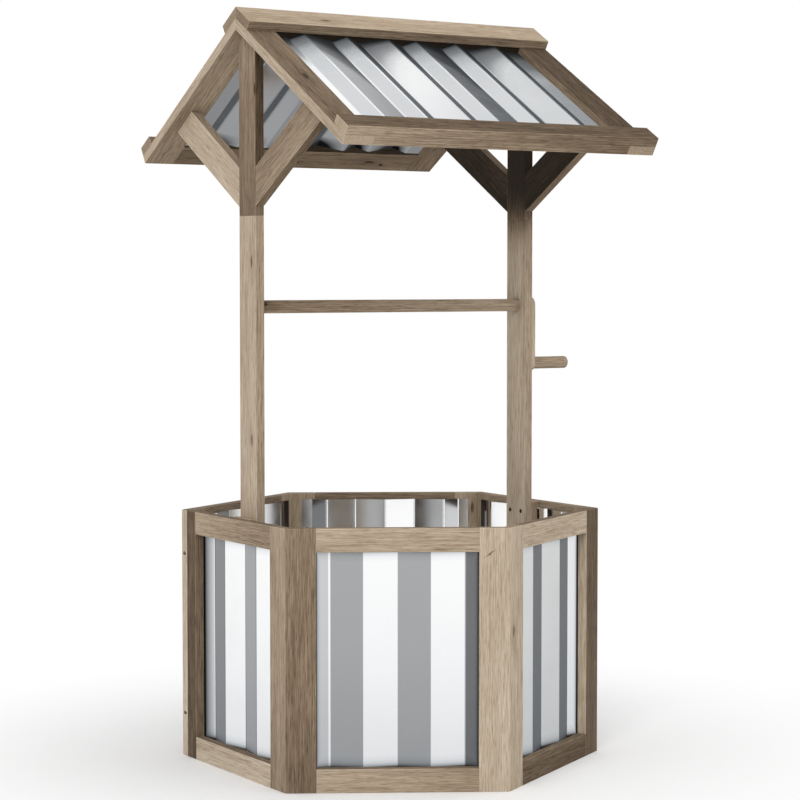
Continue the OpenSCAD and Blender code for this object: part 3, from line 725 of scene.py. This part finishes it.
def mark_distances(node, mesh, half_open, low, high, cap_low):
    """Keeps on a sheet, which stands on its end at the origin, how far each point is from the
    boards and caps around it, which way its faces look and lean, and the painted shade on some
    facets."""
    stiles = []
    rails = []
    cap = []
    eave = []
    length = max(vertex.co.z for vertex in mesh.vertices)
    deepest = min(vertex.co.y for vertex in mesh.vertices)
    for vertex in mesh.vertices:
        x, depth, z = vertex.co
        stiles += (x + half_open, half_open - x, 0)
        rails += (z - low, high - z, 0)
        cap.append(1.0 if cap_low is None else z - cap_low)
        eave += (1.0 if cap_low is None else length - z, (depth - deepest) / FOLD_D, 0)
    outside = [1.0 if face.normal.y > FACING else 0.0 for face in mesh.polygons]
    brightness = [1.0] * len(mesh.loops)
    # Painted reflection of the dark stile on a few facets
    for sheet, (start, end), (first_bright, last_bright) in PAINTED_DARK_FACETS:
        for face in mesh.polygons:
            if sheet != node or not start < face.center.x < end:
                continue
            for corner in face.loop_indices:
                x = mesh.vertices[mesh.loops[corner].vertex_index].co.x
                share = (x - start) / (end - start)
                brightness[corner] = first_bright + share * (last_bright - first_bright)
    # The ridge cap's painted shade and reflection stay near the cap on facets that face left and
    # reach further down on those that face right
    cap_fade_power = [CAP_SHADE_FADE["flat"] * 2 ** (CAP_SHADE_FADE["doublings"] * face.normal.x) for face in mesh.polygons]
    # On the wide facets it reaches further down along the edge that lies lower
    aslant = []
    for face in mesh.polygons:
        lean = face.normal.x
        across = [mesh.vertices[i].co.x for i in face.vertices]
        half_width = (max(across) - min(across)) / 2
        centre = (max(across) + min(across)) / 2
        slant = 0.0
        if half_width > SLANTED["wider_than"] / 2 and abs(lean) > SLANTED["leaning"]:
            slant = SLANTED["facing_left"] if lean < 0 else SLANTED["facing_right"]
        aslant += [1 + slant * (x - centre) / half_width if slant else 1.0 for x in across]
    keep_on(mesh, (("from_stiles", "FLOAT_VECTOR", "POINT", stiles),
                   ("from_rails", "FLOAT_VECTOR", "POINT", rails),
                   ("from_cap", "FLOAT", "POINT", cap),
                   ("from_eave", "FLOAT_VECTOR", "POINT", eave),
                   ("cap_fade_power", "FLOAT", "FACE", cap_fade_power),
                   ("aslant", "FLOAT", "CORNER", aslant),
                   ("outside", "FLOAT", "FACE", outside),
                   ("brightness", "FLOAT", "CORNER", brightness)))


def with_points_at(line, places):
    """The same line with a point added at each of these places along X."""
    for place in places:
        for i in range(len(line) - 1):
            (x0, d0), (x1, d1) = line[i], line[i + 1]
            if x0 < place < x1:
                share = (place - x0) / (x1 - x0)
                line.insert(i + 1, (place, d0 + share * (d1 - d0)))
                break
    return line


def make_sheet(node, half, length, place, opening, notch=0.0, notch_depth=PLAIN_STEP,
               cap_low=None):
    """A folded sheet; half is the right half of its outline, from the middle line out."""
    line = both_halves(half)
    if notch:
        line = with_points_at(line, (-notch, notch))
    mesh = bpy.data.meshes.new(f"sheet_{node}")
    mesh.from_pydata([(x, depth, 0) for x, depth in line],
                     [(i, i + 1) for i in range(len(line) - 1)], [])
    values = {"Bend Radius": BEND_R, "Length": length, "Notch Half Width": notch,
              "Notch Depth": notch_depth, "Finish": steel}
    piece = baked(f"sheet_{node}", mesh, sheet_tree, values, thickness=SHEET_T)
    mark_distances(node, piece.data, *opening, cap_low)
    piece.data.transform(place)
    smooth_bends_only(piece)
    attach(piece, "well")
    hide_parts(node)
    piece.visible_glossy = node not in UNMIRRORED


sheet_tree = folded_sheet_tree()
sheet_half = HALF_SIDE - SHEET_INSET
side_crest = sheet_half - FLANGE_W
side_fold = (side_crest - NARROW_FOLD) / 2
panel_line = [(0, -BOARD_T - FOLD_D), (side_fold, -BOARD_T),
              (2 * side_fold, -BOARD_T - FOLD_D), (side_crest, -BOARD_T),
              (sheet_half, -BOARD_T)]
sheet_low = RAIL_W - SHEET_LAP
for panel, degrees in PANELS.items():
    # The outline's X runs to the right seen from outside, and its Y points out of the side
    out, right = side_axes(degrees)
    place = Matrix((right, out, UP)).transposed().to_4x4()
    place.translation = MIDDLE + out * APOTHEM + UP * sheet_low
    carries_post = panel in ENDS
    make_sheet(f"{panel}_panel_sheet", panel_line, BED_H - 2 * sheet_low, place,
               (HALF_SIDE - BOARD_SHADE_W, RAIL_W - sheet_low, BED_H - RAIL_W - sheet_low),
               notch=POST_W / 2 + NOTCH_GAP if carries_post else 0.0,
               notch_depth=PACKER_H + NOTCH_GAP - sheet_low)

# The roof's sheets have a crest on either side of their middle
roof_open = ROOF_HALF - ROOF_STILE_W
roof_fold = (roof_open - ROOF_MARGIN - 4 * NARROW_FOLD) / 2
first = NARROW_FOLD + roof_fold
crest = -ROOF_SHEET_DROP
valley = crest - FOLD_D
roof_line = [(0, valley), (NARROW_FOLD, crest), (first, valley), (first + NARROW_FOLD, crest),
             (first + 2 * NARROW_FOLD, valley), (2 * first + NARROW_FOLD, crest),
             (2 * first + 2 * NARROW_FOLD, valley), (roof_open + GROOVE_D, valley)]
low_s = RIDGE_RAIL_W + FIT_GAP
high_s = SLOPE_L - EAVE_RAIL_W - FIT_GAP
for slope, side in SLOPES.items():
    down, out = slope_axes(side)
    place = Matrix((out.cross(down), out, down)).transposed().to_4x4()
    place.translation = MIDDLE + UP * RIDGE_H + down * low_s
    make_sheet(f"{slope}_roof_sheet", roof_line, high_s - low_s, place,
               (roof_open + ROOF_NO_BOARD_SHADE, -ROOF_NO_BOARD_SHADE, SLOPE_L), cap_low=CAP_W - low_s)


def screw_tree():
    """Cross-headed screws, one on every point, driven along the point's direction. A head
    starts at a height above the board and narrows or widens towards it."""
    tree, given = geometry_tree("cross-headed screws", "Points", (
        "Head Start", "Head Outer Radius", "Head Inner Radius", "Head Height", "Shank Radius",
        "Shank Length", "Recess Span", "Recess Width", "Recess Depth"), "Screws")
    start = add(tree, "ShaderNodeCombineXYZ", {"Z": given["Head Start"]})
    cone = add(tree, "GeometryNodeMeshCone",
               {"Vertices": 28, "Radius Bottom": given["Head Outer Radius"],
                "Radius Top": given["Head Inner Radius"], "Depth": given["Head Height"]})
    head = add(tree, "GeometryNodeTransform", {"Geometry": cone, "Translation": start})
    deep = add(tree, "ShaderNodeMath", {0: given["Recess Depth"], 1: 2.0}, operation="MULTIPLY")
    for wide, tall in (("Recess Span", "Recess Width"), ("Recess Width", "Recess Span")):
        size = add(tree, "ShaderNodeCombineXYZ", {"X": given[wide], "Y": given[tall], "Z": deep})
        bar = add(tree, "GeometryNodeMeshCube", {"Size": size})
        slit = add(tree, "GeometryNodeTransform", {"Geometry": bar, "Translation": start})
        head = add(tree, "GeometryNodeMeshBoolean", {"Mesh 1": head, "Mesh 2": slit},
                   operation="DIFFERENCE", solver="EXACT")
    # The shank starts inside the head, below its recess
    shank_from = add(tree, "ShaderNodeMath", {0: given["Head Start"], 1: given["Head Height"]})
    shank_l, shank_mid = (add(tree, "ShaderNodeMath", {0: given["Shank Length"], 1: shank_from},
                              operation=operation) for operation in ("SUBTRACT", "ADD"))
    shank_mid = add(tree, "ShaderNodeMath", {0: shank_mid, 1: 0.5}, operation="MULTIPLY")
    cylinder = add(tree, "GeometryNodeMeshCylinder",
                   {"Vertices": 16, "Radius": given["Shank Radius"], "Depth": shank_l})
    shank_place = add(tree, "ShaderNodeCombineXYZ", {"Z": shank_mid})
    shank = add(tree, "GeometryNodeTransform", {"Geometry": cylinder, "Translation": shank_place})
    join = add(tree, "GeometryNodeJoinGeometry")
    for part in (head, shank):
        tree.links.new(part.outputs[0], join.inputs[0])
    direction = add(tree, "GeometryNodeInputNamedAttribute", {"Name": "direction"},
                    data_type="FLOAT_VECTOR")
    turn = add(tree, "FunctionNodeAlignRotationToVector", {"Vector": direction}, axis="Z")
    spread = add(tree, "GeometryNodeInstanceOnPoints",
                 {"Points": given["Points"], "Instance": join, "Rotation": turn})
    end_tree(tree, spread, given["Finish"])
    return tree


def make_screws(name, node, places, sizes):
    """Screws at these places, each a point and the direction it is driven in."""
    mesh = bpy.data.meshes.new(name)
    mesh.from_pydata([point for point, way in places], [], [])
    ways = [part for point, way in places for part in way]
    keep_on(mesh, [("direction", "FLOAT_VECTOR", "POINT", ways)])
    piece = baked(name, mesh, screws_tree, {**sizes, "Finish": screw_steel})
    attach(piece, "well")
    if node:
        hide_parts(node)
    piece.visible_glossy = False
    return piece


screws_tree = screw_tree()
flange_mid = sheet_half - FLANGE_W / 2
sheet_places = []
for degrees in PANELS.values():
    out, right = side_axes(degrees)
    behind = MIDDLE + out * (APOTHEM - BOARD_T - SHEET_T)
    for across in (-flange_mid, flange_mid):
        for height in (SHEET_SCREW_END, BED_H - SHEET_SCREW_END):
            sheet_places.append((behind + right * across + UP * height, out))
make_screws("screws_on_the_sheets", "sheet_screws", sheet_places, {
    "Head Start": -0.0022, "Head Outer Radius": 0.0031, "Head Inner Radius": 0.004,
    "Head Height": 0.0022, "Shank Radius": 0.00175, "Shank Length": 0.0126,
    "Recess Span": 0.0036, "Recess Width": 0.0008, "Recess Depth": 0.0012})

COUNTERSUNK = {"Head Start": 0.0, "Head Outer Radius": 0.004, "Head Inner Radius": 0.002,
               "Head Height": 0.0024, "Shank Radius": 0.002, "Recess Span": 0.0044,
               "Recess Width": 0.0009, "Recess Depth": 0.0013}
packer_places = []
for side in (-1, 1):
    for across in (-PACKER_SCREW_OUT, PACKER_SCREW_OUT):
        for height in (PACKER_H / 2, BED_H - PACKER_H / 2):
            point = MIDDLE + Vector((side * POST_IN, across, height))
            packer_places.append((point, X * side))
packer_screw_l = APOTHEM - POST_IN - BOARD_T + SCREW_BITE
screws = [make_screws("screws_through_the_packers", None, packer_places,
                      {**COUNTERSUNK, "Shank Length": packer_screw_l})]

roof_places = []
for side in SLOPES.values():
    down, out = slope_axes(side)
    for across in (-ROOF_SCREW_OUT, 0.0, ROOF_SCREW_OUT):
        for along in (CAP_W / 2, SLOPE_L - EAVE_TRIM_W / 2):
            point = MIDDLE + UP * RIDGE_H + X * across + down * along - out * BOARD_T
            roof_places.append((point, out))
screws.append(make_screws("screws_under_the_roof", None, roof_places,
                          {**COUNTERSUNK, "Shank Length": BOARD_T + SCREW_BITE}))

# Those of the closing corners are driven through one side's bevelled edge into the next side
closing_places = []
edge_strip = BOARD_T / math.cos(math.radians(30))
sink = CLOSING_HEAD_R * math.tan(math.radians(60)) + FIT_GAP
for degrees in ENDS.values():
    out, right = side_axes(degrees)
    way = Matrix.Rotation(math.radians(120), 3, "Z") @ out
    for height in (CLOSING_SCREW_END, BED_H - CLOSING_SCREW_END):
        point = MIDDLE + out * APOTHEM + right * (edge_strip / 2 - HALF_SIDE) + UP * height
        closing_places.append((point + way * sink, way))
screws.append(make_screws("screws_in_the_closing_corners", None, closing_places, {
    **COUNTERSUNK, "Head Outer Radius": CLOSING_HEAD_R, "Shank Length": 0.025,
    "Recess Span": 0.0034}))
with bpy.context.temp_override(active_object=screws[0], selected_editable_objects=screws):
    bpy.ops.object.join()
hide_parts("wood_screws")
screws[0].name = "wood_screws_with_cross_heads"


# The room that the steel mirrors, by height above the horizon in degrees
WALLS = [(-90, "#999a9c"), (-70, "#999a9c"), (-54, "#858688"), (-38, "#848587"),
         (-28, "#9b9d9f"), (-16, "#c1c3c6"), (-12.6, "#dcdee0"), (-11.4, "#e8e9eb"),
         (-10, "#f5f6f7"), (-8, "#ffffff"), (57, "#ffffff"), (67, "#d6d8da"), (90, "#d2d4d6")]
# Dark flags in it: colour, azimuths counted from +X towards +Y, heights, and soft edges
FLAGS = [("#757779", (-14.3, 40), (-22, 8), (0.7, 3)),
         ("#a7a8aa", (84, 108), (-22, 12), (1.5, 3)),
         ("#88898b", (108, 137), (-22, 12), (1.5, 3)),
         ("#d9dbdd", (153, 172), (-22, 12), (3, 3)),
         ("#757678", (-174, -149.5), (-22, 8), (1.0, 3)),
         ("#abacad", (-149.5, -127), (-22, 8), (1.0, 3)),
         ("#cecfd0", (-84, -67), (-22, 12), (4, 3)),
         ("#d9dada", (-24, -14.3), (-22, 12), (0.7, 3)),
         ("#8f9092", (-67, -52), (-22, 12), (3, 3)),
         ("#e8e9ea", (-52, -28), (-22, 12), (3, 3)),
         ("#7b7f81", (30, 50), (-28, -15.5), (3, 1.5))]
# Those that the roof mirrors hang in front and behind
for turned in (0, -180):
    FLAGS += [("#6c6f73", (20 + turned, 62 + turned), (8, 32.5), (4, 4)),
              ("#b4b6b8", (20 + turned, 60 + turned), (6, 15.5), (4, 2)),
              ("#c4c6c8", (20 + turned, 60 + turned), (21, 30), (4, 1.5)),
              ("#96999c", (20 + turned, 39.5 + turned), (35, 52), (1.2, 3)),
              ("#d4d6d7", (30 + turned, 43.8 + turned), (52, 63), (2.5, 3))]


def white_floor():
    """A sheet of white studio paper that fades into the background away from the object."""
    mesh = bpy.data.meshes.new("studio_floor")
    half = 15
    mesh.from_pydata([(-half, -half, 0), (half, -half, 0), (half, half, 0), (-half, half, 0)],
                     [], [(0, 1, 2, 3)])
    floor = placed("studio_floor", mesh)
    paper, tree = new_material("white studio paper")
    # Fibres of the paper, a few millimetres long
    place = add(tree, "ShaderNodeTexCoord").outputs["Object"]
    fibre = add(tree, "ShaderNodeTexNoise", {"Vector": place, "Scale": 300.0})
    tint = add(tree, "ShaderNodeMix", {0: fibre, 6: linear("#f6f6f6"), 7: linear("#fafafa")},
               data_type="RGBA")
    matte = add(tree, "ShaderNodeBsdfDiffuse", {"Color": tint.outputs[2]})
    away = add(tree, "ShaderNodeVectorMath", {0: place}, operation="LENGTH").outputs["Value"]
    blend = add(tree, "ShaderNodeMapRange", {"Value": away, "From Min": 0.4, "From Max": 1.2},
                interpolation_type="SMOOTHSTEP")
    glow = add(tree, "ShaderNodeEmission", {"Color": (1, 1, 1, 1), "Strength": 1.0})
    shader = add(tree, "ShaderNodeMixShader", {0: blend, 1: matte, 2: glow})
    add(tree, "ShaderNodeOutputMaterial", {"Surface": shader})
    mesh.materials.append(paper)
    floor.visible_glossy = False


def white_room():
    """The studio's soft light, and the room with dark flags that the steel mirrors."""
    world = bpy.data.worlds.new("white studio")
    bpy.context.scene.world = world
    world.use_nodes = True
    tree = world.node_tree
    tree.nodes.clear()
    way = add(tree, "ShaderNodeTexCoord").outputs["Generated"]
    parts = add(tree, "ShaderNodeSeparateXYZ", {0: way}).outputs
    turned = add(tree, "ShaderNodeMath", {0: parts["Y"], 1: parts["X"]}, operation="ARCTAN2")
    raised = add(tree, "ShaderNodeMath", {0: parts["Z"]}, operation="ARCSINE")
    azimuth, elevation = (add(tree, "ShaderNodeMath", {0: angle}, operation="DEGREES")
                          for angle in (turned, raised))
    up = add(tree, "ShaderNodeMapRange", {"Value": elevation, "From Min": -90.0, "From Max": 90.0})
    walls = [((height + 90) / 180, colour) for height, colour in WALLS]
    room = add(tree, "ShaderNodeValToRGB", {"Fac": up}, stops=walls)
    for colour, azimuths, heights, soft in FLAGS:
        # A mask that fades at the flag's edges, across it and up it
        mask = 1.0
        for value, (low, high), edge in ((azimuth, azimuths, soft[0]),
                                         (elevation, heights, soft[1])):
            off = add(tree, "ShaderNodeMath", {0: value, 1: (low + high) / 2},
                      operation="SUBTRACT")
            off = add(tree, "ShaderNodeMath", {0: off}, operation="ABSOLUTE")
            half = (high - low) / 2
            side = add(tree, "ShaderNodeMapRange",
                       {"Value": off, "From Min": half - edge, "From Max": half + edge,
                        "To Min": 1.0, "To Max": 0.0}, interpolation_type="SMOOTHSTEP")
            mask = add(tree, "ShaderNodeMath", {0: mask, 1: side}, operation="MULTIPLY")
        room = add(tree, "ShaderNodeMix", {0: mask, 6: room, 7: linear(colour)},
                   data_type="RGBA", blend_type="MULTIPLY").outputs[2]
    # Where the camera or the gloss sees it, it is white; as a light it is a little dimmer
    ray = add(tree, "ShaderNodeLightPath").outputs
    seen = ray["Is Camera Ray"]
    for kind in ("Is Glossy Ray", "Is Transmission Ray"):
        seen = add(tree, "ShaderNodeMath", {0: seen, 1: ray[kind]}, operation="MAXIMUM")
    strength = add(tree, "ShaderNodeMapRange", {"Value": seen, "To Min": 0.72, "To Max": 1.0})
    colour = add(tree, "ShaderNodeMix",
                 {0: ray["Is Glossy Ray"], 6: (1, 1, 1, 1), 7: room}, data_type="RGBA").outputs[2]
    sky = add(tree, "ShaderNodeBackground", {"Color": colour, "Strength": strength})
    add(tree, "ShaderNodeOutputWorld", {"Surface": sky})
    world.cycles.sampling_method = "NONE"


def soft_lamps():
    """Two square lamps that look at the middle of the object: place, size and power."""
    lamps = {"key_lamp": ((-3.2, -3.6, 3.4), 2.4, 95), "top_lamp": ((0.6, -0.6, 4.2), 2.6, 35)}
    target = Vector((0, 0, 0.7))
    for name, (place, size, power) in lamps.items():
        light = bpy.data.lights.new(name, "AREA")
        light.shape = "SQUARE"
        light.size = size
        light.energy = power
        lamp = placed(name, light)
        lamp.location = place
        lamp.rotation_euler = (target - Vector(place)).to_track_quat("-Z", "Y").to_euler()
        lamp.visible_glossy = False


white_floor()
white_room()
soft_lamps()

# The photograph's view: 32 degrees left of the front and 3 degrees up. It looks at a point so
# far right of the bed's middle and so far above the ground, from this far away
VIEW = {"azimuth": math.radians(-32.326), "elevation": math.radians(3.013), "aside": 0.01781,
        "height": 0.68186, "distance": 4.3723, "lens": 102.70, "sensor": 36}


def camera():
    """A camera that has the photograph's view."""
    data = bpy.data.cameras.new("camera")
    data.lens = VIEW["lens"]
    data.sensor_width = VIEW["sensor"]
    data.clip_start = 0.1
    data.clip_end = 100
    made = placed("camera", data)
    cos, sin = math.cos(VIEW["azimuth"]), math.sin(VIEW["azimuth"])
    level = math.cos(VIEW["elevation"])
    back = Vector((sin * level, -cos * level, math.sin(VIEW["elevation"])))
    target = MIDDLE + Vector((cos, sin, 0)) * VIEW["aside"] + UP * VIEW["height"]
    made.location = target + back * VIEW["distance"]
    made.rotation_mode = "QUATERNION"
    made.rotation_quaternion = (-back).to_track_quat("-Z", "Y")
    bpy.context.scene.camera = made


camera()
bpy.context.scene.view_settings.view_transform = "Standard"
